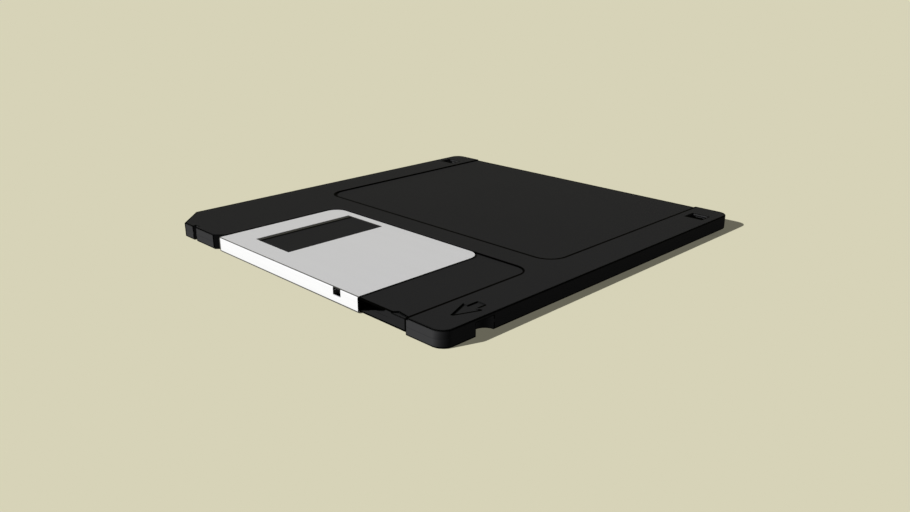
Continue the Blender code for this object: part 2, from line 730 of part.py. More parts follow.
def shutter(material):
    """The folded sheet is swept along X with some to spare, thickened, then trimmed, pierced and lanced."""
    shape = bmesh.new()
    start = SHUTTER_LEFT - CUT_REACH
    points = [shape.verts.new((start, y, z)) for y, z in shutter_profile()]
    edges = [shape.edges.new(pair) for pair in zip(points, points[1:])]
    swept = bmesh.ops.extrude_edge_only(shape, edges=edges)
    moved = [part for part in swept["geom"] if isinstance(part, bmesh.types.BMVert)]
    bmesh.ops.translate(shape, verts=moved, vec=(SHUTTER_WIDTH + 2 * CUT_REACH, 0.0, 0.0))
    body = mesh_object("shutter", shape, PIECES)
    thicken = body.modifiers.new("sheet", "SOLIDIFY")
    thicken.thickness = SHEET
    thicken.offset = 0.0
    thicken.use_even_offset = True

    outline = rounded_back(SHUTTER_LEFT, SHUTTER_RIGHT, FRONT - CUT_REACH, SHUTTER_BACK,
                           SHUTTER_CORNER_RADIUS)
    combine(body, flat_solid("shutter_trim", [outline], -CUT_REACH, TOP + CUT_REACH), "INTERSECT")
    window = box("shutter_window", (WINDOW_LEFT, WINDOW_FRONT, -CUT_REACH),
                 (WINDOW_LEFT + WINDOW_WIDTH, WINDOW_BACK + WINDOW_BACK_SPARE, TOP + CUT_REACH))
    cut(body, window)
    lance = box("shutter_lance", (TAB_LEFT, FLANGE_FRONT - CUT_REACH, TAB_LOW - TAB_KERF),
                (TAB_LEFT + TAB_LENGTH, FLANGE_BACK + SHEET, TOP - SHUTTER_SINK - SHEET))
    cut(body, lance)
    tab = box("shutter_tab", (TAB_LEFT - SHEET, FLANGE_FRONT + SHEET / 4, TAB_LOW),
              (TAB_LEFT, FLANGE_BACK + TAB_LENGTH, TAB_HIGH))
    join(body, tab)
    finish(body, material)
    return body


# Disc, hub and linings

def magnetic_disk(material):
    body = ring("magnetic_disk", DISC_BORE, DISC_RADIUS, DISC_LOW, DISC_HIGH, PIECES)
    finish(body, material)
    return body


def hub(material):
    """A stamped cup: its plate hangs in the case's opening, and its flange lies on the glue ring."""
    inner = HUB_RADIUS - HUB_SHEET
    profile = [
        (0.0, HUB_PLATE_TOP),
        (inner, HUB_PLATE_TOP),
        (inner, HUB_FLANGE_HIGH),
        (HUB_FLANGE_RADIUS, HUB_FLANGE_HIGH),
        (HUB_FLANGE_RADIUS, HUB_FLANGE_LOW),
        (HUB_RADIUS, HUB_FLANGE_LOW),
        (HUB_RADIUS, HUB_SINK + HUB_FILLET),
        (HUB_RADIUS - HUB_FILLET, HUB_SINK),
        (0.0, HUB_SINK),
    ]
    body = turned("hub", profile, ROUND_STEPS, PIECES)
    half = HUB_SQUARE / 2
    low, high = HUB_SINK - CUT_REACH, HUB_PLATE_TOP + HUB_SHEET
    cut(body, box("hub_square", (-half, -half, low), (half, half, high)))
    long_half, short_half = DRIVE_SLOT_LENGTH / 2, DRIVE_SLOT_WIDTH / 2
    cut(body, box("drive_slot", (-long_half, DRIVE_SLOT_RADIUS - short_half, low),
                  (long_half, DRIVE_SLOT_RADIUS + short_half, high)))
    finish(body, material)
    return body


def hub_adhesive_ring(material):
    body = ring("hub_adhesive_ring", DISC_BORE + GLUE_MARGIN, HUB_FLANGE_RADIUS - GLUE_MARGIN,
                GLUE_LOW, GLUE_HIGH, PIECES)
    finish(body, material)
    return body


def liner(name, low, material):
    """A ring of non-woven cloth with the slot for the heads cut in from its rim."""
    body = ring(name, LINER_BORE, LINER_RADIUS, low, low + LINER_THICKNESS, PIECES)
    half = HEAD_WINDOW_WIDTH / 2 + LINER_SLOT_MARGIN
    slot = box(name + "_slot", (-half, -LINER_RADIUS - CUT_REACH, low - CUT_REACH),
               (half, WINDOW_BACK + LINER_SLOT_MARGIN, low + CUT_REACH))
    cut(body, slot)
    finish(body, material)
    return body


def liner_lifter(material):
    """A thin leaf, lanced on three sides, that lies pressed flat in its pocket under the lower liner."""
    low = FLOOR - LIFTER_THICKNESS
    middle_x = LIFTER_LEFT + LIFTER_WIDTH / 2
    middle_y = -LIFTER_BACK - LIFTER_LENGTH / 2
    outline = centred_rectangle(middle_x, middle_y, LIFTER_WIDTH, LIFTER_LENGTH)
    body = flat_solid("liner_lifter", [outline], low, FLOOR, PIECES)
    outer_x = LIFTER_WIDTH / 2 - LIFTER_FRAME
    outer_y = LIFTER_LENGTH / 2 - LIFTER_FRAME
    inner_x, inner_y = outer_x - LIFTER_SLIT, outer_y - LIFTER_SLIT
    slit = [
        (middle_x - outer_x, middle_y + outer_y),
        (middle_x - outer_x, middle_y - outer_y),
        (middle_x + outer_x, middle_y - outer_y),
        (middle_x + outer_x, middle_y + outer_y),
        (middle_x + inner_x, middle_y + outer_y),
        (middle_x + inner_x, middle_y - inner_y),
        (middle_x - inner_x, middle_y - inner_y),
        (middle_x - inner_x, middle_y + outer_y),
    ]
    cut(body, flat_solid("lifter_slit", [slit], low - CUT_REACH, FLOOR + CUT_REACH))
    finish(body, material)
    return body


def wear_button(material):
    """The pad that the hub's plate runs under."""
    profile = [
        (0.0, BUTTON_HIGH),
        (BUTTON_RADIUS, BUTTON_HIGH),
        (BUTTON_RADIUS, BUTTON_LOW + BUTTON_THICKNESS / 2),
        (BUTTON_RADIUS - BUTTON_THICKNESS / 2, BUTTON_LOW),
        (0.0, BUTTON_LOW),
    ]
    body = turned("wear_button", profile, SMALL_ROUND_STEPS, PIECES)
    finish(body, material)
    return body


# Write-protect slider

def write_protect_slider(material):
    """A block over the floor, wider than its slot, with a grooved tongue that is pushed from below."""
    front, back = slider_ends()
    half = HOLE_WIDTH / 2
    body = box("write_protect_slider",
               (HOLE_X - half - SLIDER_RAIL, front, FLOOR + SLIDER_LIFT),
               (HOLE_X + half + SLIDER_RAIL, back, CEILING - SLIDER_LIFT), PIECES)
    tongue = half - SLIDER_CLEARANCE
    join(body, box("slider_tongue", (HOLE_X - tongue, front + SLIDER_TAPER, SLIDER_SINK),
                   (HOLE_X + tongue, back - SLIDER_TAPER, FLOOR + SLIDER_LIFT + JOIN_LAP)))
    pitch = (back - front) / (THUMB_GROOVES + 1)
    for number in range(THUMB_GROOVES):
        y = front + pitch * (number + 1)
        cut(body, box(f"thumb_groove_{number}",
                      (HOLE_X - half, y - THUMB_GROOVE_WIDTH / 2, SLIDER_SINK - CUT_REACH),
                      (HOLE_X + half, y + THUMB_GROOVE_WIDTH / 2, SLIDER_SINK + THUMB_GROOVE_DEPTH)))
    finish(body, material)
    return body


# Shutter spring

def heading(vector):
    return math.atan2(vector.y, vector.x)


def spring_route():
    """The wire from the shutter's tab, round the floating coil and on to the case, as 3-D points."""
    anchor, tip = SPRING_ANCHOR, SPRING_TIP
    middle = (anchor.x + tip.x) / 2
    reach = RIB_INNER + RIM_RIB + COIL_FROM_RIB + WIRE_RADIUS + COIL_RADIUS
    centre = Vector((middle, -math.sqrt(reach ** 2 - middle ** 2)))
    lean = math.acos(COIL_RADIUS / (anchor - centre).length)
    start = heading(tip - centre) - lean
    end = heading(anchor - centre) + lean
    sweep = (start - end) % (2 * math.pi) + 2 * math.pi * COIL_TURNS
    lowest = FLOOR + WIRE_RADIUS + WIRE_CLEARANCE
    highest = CEILING - WIRE_RADIUS - WIRE_CLEARANCE
    steps = math.ceil(COIL_STEPS * sweep / (2 * math.pi))
    route = [(tip.x, tip.y, highest)]
    for step in range(steps + 1):
        share = step / steps
        angle = start - sweep * share
        route.append((centre.x + COIL_RADIUS * math.cos(angle), centre.y + COIL_RADIUS * math.sin(angle),
                      highest + (lowest - highest) * share))
    route.append((anchor.x, anchor.y, lowest))
    return route


def shutter_spring(material):
    curve = bpy.data.curves.new("shutter_spring", "CURVE")
    curve.dimensions = "3D"
    curve.bevel_depth = WIRE_RADIUS
    curve.bevel_resolution = 2
    curve.use_fill_caps = True
    route = spring_route()
    spline = curve.splines.new("POLY")
    spline.points.add(len(route) - 1)
    for point, place in zip(spline.points, route):
        point.co = (*place, 1.0)
    drawn = bpy.data.objects.new("spring_wire", curve)
    TOOLS.objects.link(drawn)
    body = meshed("shutter_spring", drawn, PIECES)
    finish(body, material)
    return body


# The whole cartridge

def moved_by(name, place, children):
    """An empty on a joint's axis, which carries the pieces that move with it."""
    axis = bpy.data.objects.new(name, None)
    axis.location = place
    PIECES.objects.link(axis)
    for child in children:
        child.parent = axis
        child.matrix_parent_inverse = Matrix.Translation(place).inverted()


def build():
    black = new_material("black_plastic", (0.022, 0.022, 0.023), 0.55)
    steel = new_material("shutter_steel", (0.60, 0.60, 0.60), 0.38, 1.0)
    stamped = new_material("hub_steel", (0.52, 0.52, 0.53), 0.30, 1.0)
    wire = new_material("spring_wire", (0.45, 0.45, 0.46), 0.35, 1.0)
    film = new_material("magnetic_film", (0.045, 0.030, 0.024), 0.30)
    cloth = new_material("liner_cloth", (0.80, 0.80, 0.78), 0.95)
    leaf = new_material("lifter_film", (0.70, 0.72, 0.72), 0.30)
    glue = new_material("glue", (0.75, 0.72, 0.60), 0.60)
    slippery = new_material("button_plastic", (0.85, 0.85, 0.83), 0.35)

    upper_shell(black)
    lower_shell(black)
    slide = shutter(steel)
    shutter_spring(wire)
    tab = write_protect_slider(black)
    film_disk = magnetic_disk(film)
    cup = hub(stamped)
    glue_ring = hub_adhesive_ring(glue)
    liner("upper_liner", CEILING - SEAT_GAP - LINER_THICKNESS, cloth)
    liner("lower_liner", FLOOR + SEAT_GAP, cloth)
    liner_lifter(leaf)
    wear_button(slippery)

    moved_by("shutter_slide", ((SHUTTER_LEFT + SHUTTER_RIGHT) / 2, FLANGE_FRONT, MIDDLE), [slide])
    moved_by("disk_spin", (0.0, 0.0, MIDDLE), [film_disk, cup, glue_ring])
    moved_by("write_protect_slide", (HOLE_X, HOLE_Y, MIDDLE), [tab])


build()
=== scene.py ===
"""Looks, light and camera for the floppy disk, in metres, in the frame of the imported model."""

import math

import bpy
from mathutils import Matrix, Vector


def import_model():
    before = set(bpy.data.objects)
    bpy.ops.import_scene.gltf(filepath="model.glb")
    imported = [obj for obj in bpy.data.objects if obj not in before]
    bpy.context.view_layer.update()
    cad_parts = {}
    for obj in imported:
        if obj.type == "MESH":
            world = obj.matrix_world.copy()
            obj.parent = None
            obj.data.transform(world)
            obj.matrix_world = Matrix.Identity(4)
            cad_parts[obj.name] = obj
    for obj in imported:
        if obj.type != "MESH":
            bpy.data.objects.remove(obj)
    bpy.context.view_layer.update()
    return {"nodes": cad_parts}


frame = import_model()
nodes = frame["nodes"]

MM = 0.001


def mm(*values):
    """Values in millimetres, as a tuple in metres."""
    return tuple(value * MM for value in values)


def corners(*values):
    """Two corners of a box, from the lowest and then the highest x, y and z in millimetres."""
    scaled = mm(*values)
    return scaled[:3], scaled[3:]


# Light in the photograph: a sun over the front left, and an even fill
SUN_DIRECTION = Vector((-2.17, -5.87, 3.30)).normalized()
SUN_SHARE = 0.80
SUN_SPREAD = math.radians(0.6)
FILL_SHARE = 0.20

# Camera, solved from the straight edges in the photograph
CAMERA_PLACE = mm(129.02, -128.10, 57.53)
CAMERA_TILT = math.radians(70.525)
CAMERA_TURN = math.radians(45.032)
CAMERA_LENS = 32.12
CAMERA_SENSOR = 36.0
CAMERA_NEAR = 0.005
CAMERA_FAR = 50.0

# Half of the floor's width, and how far the floor lies under the object
FLOOR_HALF = 6.0
FLOOR_DROP = 0.02 * MM

# Linear colours
WHITE = (1.0, 1.0, 1.0)
FLOOR_COLOUR = (0.679, 0.651, 0.479)
BLACK_PLASTIC = (0.0162, 0.0162, 0.0166)
# Painted shade: the slider, down in its hole, painted darker than the case's black
SLIDER_BLACK_PAINTED_SHADE = (0.0030, 0.0030, 0.0031)
# Painted shade: the black of the dark lines along edges and inside the hollows
PAINTED_SHADE_BLACK = (0.0002, 0.0002, 0.0002)
SHUTTER_TOP = (0.573, 0.577, 0.618)
# Painted light: the shutter's front faces painted lighter than its top
SHUTTER_FRONT_PAINTED_LIGHT = (0.660, 0.664, 0.684)
# Painted shade: dark on the shutter's sheared edges and along its folds
SHUTTER_EDGE_PAINTED_SHADE = (0.02, 0.02, 0.02)
SHUTTER_FOLD_PAINTED_SHADE = (0.05, 0.05, 0.05)
SPRING_STEEL = (0.50, 0.50, 0.505)
HUB_STEEL = (0.50, 0.50, 0.51)
FILM_BROWN = (0.030, 0.019, 0.014)
LINER_WHITE = (0.78, 0.78, 0.75)
LIFTER_CLEAR = (0.66, 0.69, 0.70)
GLUE_YELLOW = (0.72, 0.67, 0.52)
BUTTON_WHITE = (0.83, 0.83, 0.80)

# Painted light and shade, as multiples of the plastic's colour: front walls lighter, the others
# darker
# Levels of the black plastic on the walls that the photograph shows lighter or darker than the top
PLASTIC_FRONT_PAINTED_LIGHT = 1.74
INSET_PAINTED_SHADE = 0.79
NICK_PAINTED_SHADE = 0.50
CORNER_PAINTED_SHADE = 0.58
ARROW_WALL_PAINTED_SHADE = 0.40

# A normal's y where a wall turns to the front, and its x and y where one turns to the front right
TURN_FRONT = (-0.6, -1.0)
TURN_CORNER_X = (0.05, 0.62)
TURN_CORNER_Y = (-0.1, -0.5)

# A normal's z past which a face counts as facing up
FACING_UP = 0.5

# Outline of the case, and minus the sum of x and y along its cut-off corner
CASE_MIDDLE = (0.0, 0.0)
CASE_HALF = mm(45.0, 47.0)
CASE_CORNER = 2.5 * MM
CUT_CORNER = 86.0 * MM

# Share of x and of y in a distance across the cut-off corner
DIAGONAL = math.sqrt(0.5)

# Middle, half size and corner radius of the recesses on the top
LABEL_BED = (mm(0.0, 25.725), mm(36.25, 34.275), 4.0 * MM)
SHUTTER_BED = (mm(6.07, -37.525), mm(30.17, 22.475), 3.2 * MM)
HOLE_X = 40.75
HOLES = [(mm(side * HOLE_X, 39.7), mm(2.05, 1.65), 0.0) for side in (-1, 1)]

# Heights on the case: where its top begins, where its rims begin, and the seam between its halves
TOP_ZONE = 2.9 * MM
RIM_HIGH = 3.20 * MM
RIM_LOW = 0.31 * MM
SEAM = 1.65 * MM
SEAM_REACH = 0.30 * MM

# Widths of the painted shade lines around the recesses and inside the outline, to the left, right,
# front and rear
BED_LINES = mm(0.32, 0.58, 0.62, 0.12)
HOLE_LINES = mm(0.20, 0.30, 0.50, 0.10)
RIM_LINES = mm(-0.50, -0.12, -0.12, -0.50)

# Soft edge of those lines, and how far a recess's line reaches into the recess
SOFT = 0.02 * MM
LINE_IN = 0.06 * MM

# Where a stroke begins and where it is full, as shares of its width
STROKE_OUTER = 0.55
STROKE_INNER = 0.42

# The painted shade line at a sharp bend: its reach, and how far the normals agree at its outer side
# and its core
BEND_REACH = 0.36 * MM
BEND_AGREE = (0.997, 0.96)
BEND_SAMPLES = 6

# Start, end and width in millimetres of the arrow's painted shade lines: two walls, two rims, a
# shoulder, a tail
ARROW_LINES = [
    ((39.90, -33.65), (39.90, -36.00), 0.24),
    ((38.85, -36.00), (40.85, -41.00), 0.24),
    ((41.00, -40.62), (42.80, -36.12), 0.90),
    ((41.90, -35.35), (41.90, -34.00), 0.75),
    ((42.72, -36.00), (42.50, -36.00), 0.26),
    ((41.80, -33.56), (39.90, -33.56), 0.14),
]
ARROW_ZONE = corners(38.3, -41.6, 2.8, 43.5, -33.1, 3.4)

# The set-back part of the front wall, and the nick to the left of the shutter, both painted darker
# as painted shade
INSET_WALL = corners(23.0, -46.75, -0.1, 39.0, -46.35, 3.3)
NICK = corners(-26.45, -47.1, -0.1, -24.0, -44.6, 3.2)

# Painted shade, black inside: the tab's slot, the skin above it, the relief by the corner block,
# the corner holes
PAINTED_SHADE_HOLLOWS = [
    corners(15.5, -46.54, 0.68, 31.0, -40.0, 2.68),
    corners(23.4, -46.60, 2.64, 30.6, -46.50, 2.99),
    corners(31.3, -46.60, 2.80, 36.3, -45.20, 2.99),
] + [corners(side * HOLE_X - 2.2, 37.8, 0.5, side * HOLE_X + 2.2, 41.6, 2.86) for side in (-1, 1)]

# Painted shade lines on the front wall: the bed's edge, the foot of the set-back part, and four
# upright corners
FRONT_LINES = [
    corners(-24.0, -46.60, 2.83, 36.2, -46.25, 3.05),
    corners(-24.0, -46.60, -0.1, 36.2, -46.25, 0.62),
    corners(36.10, -47.10, -0.1, 36.38, -46.40, 3.4),
    corners(35.45, -46.60, -0.1, 35.90, -46.25, 3.05),
    corners(-26.55, -47.10, -0.1, -26.30, -46.90, 3.4),
    corners(-39.10, -47.10, -0.1, -38.55, -46.90, 3.4),
]

# Painted shade in black on the shutter: head and left of the flange's window, left and rear of the
# upper window
WINDOW_PAINTED_SHADE = [
    corners(16.5, -47.1, 2.95, 18.6, -46.8, 3.28),
    corners(16.36, -47.1, 1.74, 16.75, -46.80, 3.34),
    corners(-17.30, -41.93, 3.0, -16.05, -17.10, 3.3),
    corners(-17.30, -17.40, 3.0, -5.10, -17.10, 3.3),
]

# Middle and reach of the shutter's flange, and of the painted shade lines along its folds and its
# left end
FLANGE = mm(-46.95, 0.30)
FOLD_TOP = mm(3.25, 0.10)
FOLD_BOTTOM = mm(0.05, 0.40)
FLANGE_LEFT = mm(-23.8, 0.36)

# How squarely a face of the shutter lies to z or y where it is sheet, and where it is an edge
SHEET_TO_EDGE = (0.75, 0.45)
STEEL_METAL = 0.20

# Pitch of the hub's turning marks, and waves per metre of the film's rings
HUB_PITCH = 0.22 * MM
FILM_WAVES = 2600.0

# Ramp at the end of a reach, as a share of that reach
RAMP = 0.05

# Points nearer together than this are joined, and a bend past this angle stays a sharp edge
WELD = 0.001 * MM
SHARP_BEND = math.radians(30.0)


def shade(colour, factor):
    return tuple(channel * factor for channel in colour)


# Node helpers

class Tree:
    """A material's node tree, with short calls for the nodes used here."""

    def __init__(self, name, colour, roughness, metallic=0.0, specular=0.5):
        self.material = bpy.data.materials.new(name)
        self.material.use_nodes = True
        self.tree = self.material.node_tree
        self.shader = self.tree.nodes["Principled BSDF"]
        self.shader.inputs["Base Color"].default_value = (*colour, 1.0)
        self.shader.inputs["Roughness"].default_value = roughness
        self.shader.inputs["Metallic"].default_value = metallic
        self.shader.inputs["Specular IOR Level"].default_value = specular
        self.place = self.add("ShaderNodeTexCoord").outputs["Object"]
        self.normal = self.add("ShaderNodeNewGeometry").outputs["Normal"]

    def add(self, kind, **settings):
        node = self.tree.nodes.new(kind)
        for key, value in settings.items():
            setattr(node, key, value)
        return node

    def feed(self, socket, value):
        if isinstance(value, bpy.types.NodeSocket):
            self.tree.links.new(value, socket)
        else:
            socket.default_value = value

    def paint(self, colour):
        self.feed(self.shader.inputs["Base Color"], colour)

    def rough(self, level):
        self.feed(self.shader.inputs["Roughness"], level)

    def math(self, operation, first, second=0.0):
        node = self.add("ShaderNodeMath", operation=operation)
        for socket, value in zip(node.inputs, (first, second)):
            self.feed(socket, value)
        return node.outputs[0]

    def plus(self, first, second):
        return self.math("ADD", first, second)

    def minus(self, first, second):
        return self.math("SUBTRACT", first, second)

    def size(self, value):
        return self.math("ABSOLUTE", value)

    def above(self, value, level):
        return self.math("GREATER_THAN", value, level)

    def below(self, value, level):
        return self.math("LESS_THAN", value, level)

    def chain(self, operation, values):
        """The operation on the first two values, then on its result and the next, to the last."""
        result = values[0]
        for value in values[1:]:
            result = self.math(operation, result, value)
        return result

    def times(self, *values):
        return self.chain("MULTIPLY", values)

    def most(self, *values):
        return self.chain("MAXIMUM", values)

    def length(self, first, second):
        """Length of the vector with these two sides."""
        return self.math("SQRT", self.plus(self.times(first, first), self.times(second, second)))

    def span(self, value, low, high, to_low=0.0, to_high=1.0):
        """The value carried from low and high to the other two, and held at both."""
        node = self.add("ShaderNodeMapRange")
        for socket, given in zip(node.inputs, (value, low, high, to_low, to_high)):
            self.feed(socket, given)
        return node.outputs["Result"]

    def level(self, share, first, second):
        """The first number where the share is 0, the second where it is 1."""
        return self.span(share, 0.0, 1.0, first, second)

    def mix(self, share, first, second):
        """The first colour where the share is 0, the second where it is 1."""
        node = self.add("ShaderNodeMix", data_type="RGBA")
        self.feed(node.inputs[0], share)
        for socket, value in ((node.inputs[6], first), (node.inputs[7], second)):
            self.feed(socket, value if isinstance(value, bpy.types.NodeSocket) else (*value, 1.0))
        return node.outputs[2]

    def mottled(self, share, colour, darker, lighter):
        """The colour, between two multiples of itself."""
        return self.mix(share, shade(colour, darker), shade(colour, lighter))

    def dimmed(self, colour, level):
        """The colour times that level."""
        node = self.add("ShaderNodeVectorMath", operation="SCALE")
        self.feed(node.inputs[0], colour)
        self.feed(node.inputs["Scale"], level)
        return node.outputs[0]

    def axes(self, vector):
        node = self.add("ShaderNodeSeparateXYZ")
        self.feed(node.inputs[0], vector)
        return node.outputs

    def within(self, value, middle, reach):
        """1 where the value is nearer to the middle than the reach, 0 past it, with a ramp."""
        away = self.size(self.minus(value, middle))
        return self.span(away, reach * (1 + RAMP), reach * (1 - RAMP))

    def inside(self, low, high):
        """1 inside the box between two corners, 0 outside it."""
        checks = []
        for value, lowest, highest in zip(self.axes(self.place), low, high):
            checks += [self.above(value, lowest), self.below(value, highest)]
        return self.times(*checks)

    def inside_any(self, boxes):
        return self.most(*[self.inside(*box) for box in boxes])

    def rectangle(self, x, y, middle, half, radius):
        """Signed distance to a rectangle with rounded corners."""
        sides = [self.minus(self.size(self.minus(value, centre)), reach - radius)
                 for value, centre, reach in zip((x, y), middle, half)]
        outer = self.length(*[self.most(side, 0.0) for side in sides])
        inner = self.math("MINIMUM", self.most(*sides), 0.0)
        return self.minus(self.plus(outer, inner), radius)

    def widened(self, x, y, middle, half, radius, sides):
        """Signed distance to that rectangle once its left, right, front and rear are moved out."""
        left, right, front, rear = sides
        middle = (middle[0] + (right - left) / 2, middle[1] + (rear - front) / 2)
        half = (half[0] + (left + right) / 2, half[1] + (front + rear) / 2)
        added = max(sides) if radius else min(sides)
        return self.rectangle(x, y, middle, half, max(radius + added, 0.0))

    def rim(self, x, y, bed, sides):
        """1 on a bed's wall and on the strip around the bed, which has a width for each side."""
        near = self.span(self.widened(x, y, *bed, sides), SOFT, -SOFT)
        past = self.span(self.rectangle(x, y, *bed), -LINE_IN - SOFT, SOFT - LINE_IN)
        return self.times(near, past)

    def stroke(self, x, y, start, end, width):
        """1 along the straight line between two points, with a soft edge."""
        run = (end[0] - start[0], end[1] - start[1])
        length = math.hypot(*run)
        unit = (run[0] / length, run[1] / length)
        across, up = self.minus(x, start[0]), self.minus(y, start[1])
        along = self.plus(self.times(across, unit[0]), self.times(up, unit[1]))
        along = self.math("MINIMUM", self.most(along, 0.0), length)
        away = self.length(self.minus(across, self.times(along, unit[0])),
                           self.minus(up, self.times(along, unit[1])))
        return self.span(away, width * STROKE_OUTER, width * STROKE_INNER)

    def bend(self):
        """1 by a sharp edge, 0 away from it."""
        bevel = self.add("ShaderNodeBevel", samples=BEND_SAMPLES)
        bevel.inputs["Radius"].default_value = BEND_REACH
        dot = self.add("ShaderNodeVectorMath", operation="DOT_PRODUCT")
        self.feed(dot.inputs[0], bevel.outputs["Normal"])
        self.feed(dot.inputs[1], self.normal)
        return self.span(dot.outputs["Value"], *BEND_AGREE)

    def radius(self):
        """Distance from the z axis, about which the hub and the film turn."""
        x, y, _ = self.axes(self.place)
        return self.length(x, y)

    def scaled(self, *scale):
        """The place, with each axis at a scale of its own."""
        node = self.add("ShaderNodeMapping")
        self.feed(node.inputs["Vector"], self.place)
        node.inputs["Scale"].default_value = scale
        return node.outputs["Vector"]

    def along(self, value):
        """A place that only the value moves."""
        node = self.add("ShaderNodeCombineXYZ")
        self.feed(node.inputs[0], value)
        return node.outputs[0]

    def noise(self, scale=1.0, detail=2.0, roughness=0.5, place=None):
        node = self.add("ShaderNodeTexNoise")
        self.feed(node.inputs["Vector"], place or self.place)
        node.inputs["Scale"].default_value = scale
        node.inputs["Detail"].default_value = detail
        node.inputs["Roughness"].default_value = roughness
        return node.outputs["Fac"]

    def bump(self, height, depth, strength):
        node = self.add("ShaderNodeBump")
        self.feed(node.inputs["Height"], height)
        node.inputs["Distance"].default_value = depth
        node.inputs["Strength"].default_value = strength
        self.feed(self.shader.inputs["Normal"], node.outputs["Normal"])


# Materials

def case_plastic(name, colour):
    """Black moulded plastic with a spark-eroded grain, painted light and shade as a level for each
    kind of wall, and painted shade lines.
    """
    made = Tree(name, colour, roughness=0.66, specular=0.005)
    grain = made.noise(scale=5200.0, detail=3.0, roughness=0.65)
    tone = made.mottled(made.noise(scale=38.0), colour, darker=0.94, lighter=1.06)
    specks = made.span(grain, low=0.3, high=0.7, to_low=0.0, to_high=0.35)
    tone = made.mix(specks, tone, shade(colour, 1.30))

    # Painted light on front walls; painted shade on the arrow's walls, the set-back wall, nick and
    # corner
    arrow = made.inside(*ARROW_ZONE)
    right, rear, _ = made.axes(made.normal)
    front = made.span(rear, *TURN_FRONT)
    facing = made.times(front, made.minus(1.0, arrow))
    for share, level in (
        (made.times(front, arrow), ARROW_WALL_PAINTED_SHADE),
        (facing, PLASTIC_FRONT_PAINTED_LIGHT),
        (made.times(made.inside(*INSET_WALL), facing), INSET_PAINTED_SHADE),
        (made.inside(*NICK), NICK_PAINTED_SHADE),
    ):
        tone = made.mix(share, tone, shade(colour, level))
    turned = made.times(made.span(right, *TURN_CORNER_X), made.span(rear, *TURN_CORNER_Y))
    tone = made.dimmed(tone, made.level(turned, 1.0, CORNER_PAINTED_SHADE))

    # Painted shade: black lines along edges and recesses, and black inside the hollows
    drawn = made.most(case_lines(made, arrow), made.inside_any(PAINTED_SHADE_HOLLOWS))
    made.paint(made.mix(drawn, tone, PAINTED_SHADE_BLACK))
    made.rough(made.span(grain, low=0.25, high=0.75, to_low=0.60, to_high=0.74))
    made.bump(grain, depth=0.010 * MM, strength=0.7)
    return made.material


def case_lines(made, arrow):
    """1 where a painted shade line runs, along the recesses' edges, the walls' head and foot, the
    front wall and sharp bends.
    """
    x, y, z = made.axes(made.place)
    up = made.above(made.axes(made.normal)[2], FACING_UP)

    # The lines on the top
    lines = [made.rim(x, y, bed, BED_LINES) for bed in (LABEL_BED, SHUTTER_BED)]
    for start, end, width in ARROW_LINES:
        lines.append(made.stroke(x, y, mm(*start), mm(*end), width * MM))
    cut = made.times(made.plus(made.plus(x, y), CUT_CORNER), -DIAGONAL)
    inset = made.widened(x, y, CASE_MIDDLE, CASE_HALF, CASE_CORNER, RIM_LINES)
    inset = made.most(inset, made.minus(cut, RIM_LINES[0]))
    flat = [made.rim(x, y, hole, HOLE_LINES) for hole in HOLES] + [made.span(inset, -SOFT, SOFT)]
    lines.append(made.times(up, made.most(*flat)))
    top = made.times(made.most(*lines), made.above(z, TOP_ZONE))

    # The lines around the walls, at their head and foot
    outline = made.most(made.rectangle(x, y, CASE_MIDDLE, CASE_HALF, CASE_CORNER), cut)
    ends = made.most(made.above(z, RIM_HIGH), made.below(z, RIM_LOW))
    walls = made.times(made.above(outline, -2 * SOFT), ends)

    # The lines at bends, away from the seam and the arrow
    plain = made.minus(1.0, made.most(made.within(z, SEAM, SEAM_REACH), arrow))
    bends = made.times(made.bend(), plain)
    return made.most(top, walls, made.inside_any(FRONT_LINES), bends)


def shutter_steel():
    """Sheet steel, brushed along its length, with its front painted lighter as painted light, and
    painted shade on its sheared edges, folds and window edges.
    """
    made = Tree("shutter_steel", SHUTTER_TOP, roughness=0.42, metallic=STEEL_METAL)
    streak = made.noise(detail=3.0, roughness=0.6, place=made.scaled(60.0, 5200.0, 5200.0))
    broad = made.noise(place=made.scaled(18.0, 520.0, 520.0))
    broad = made.span(broad, low=0.3, high=0.7, to_low=0.0, to_high=0.5)
    top, front = [
        made.mix(broad, made.mottled(streak, colour, 0.96, 1.04), shade(colour, 1.03))
        for colour in (SHUTTER_TOP, SHUTTER_FRONT_PAINTED_LIGHT)
    ]

    x, y, z = made.axes(made.place)
    _, rear, up = made.axes(made.normal)
    flange = made.within(y, *FLANGE)
    flat = made.most(made.size(up), made.times(flange, made.size(rear)))
    sheared = made.span(flat, *SHEET_TO_EDGE)
    folds = [made.within(x, *FLANGE_LEFT), made.within(z, *FOLD_TOP), made.within(z, *FOLD_BOTTOM)]
    folds = made.times(flange, made.most(*folds))
    window = made.inside_any(WINDOW_PAINTED_SHADE)

    # Painted light on the front faces, then painted shade on the sheared edges, folds and windows
    tone = made.mix(made.span(rear, *TURN_FRONT), top, front)
    for share, colour in ((sheared, SHUTTER_EDGE_PAINTED_SHADE), (folds, SHUTTER_FOLD_PAINTED_SHADE), (window, PAINTED_SHADE_BLACK)):
        tone = made.mix(share, tone, colour)
    made.paint(tone)
    drawn = made.most(sheared, folds, window)
    made.feed(made.shader.inputs["Metallic"], made.level(drawn, STEEL_METAL, 0.0))
    gloss = made.span(streak, low=0.25, high=0.75, to_low=0.38, to_high=0.48)
    made.rough(made.most(gloss, window))
    made.bump(streak, depth=0.004 * MM, strength=0.5)
    return made.material


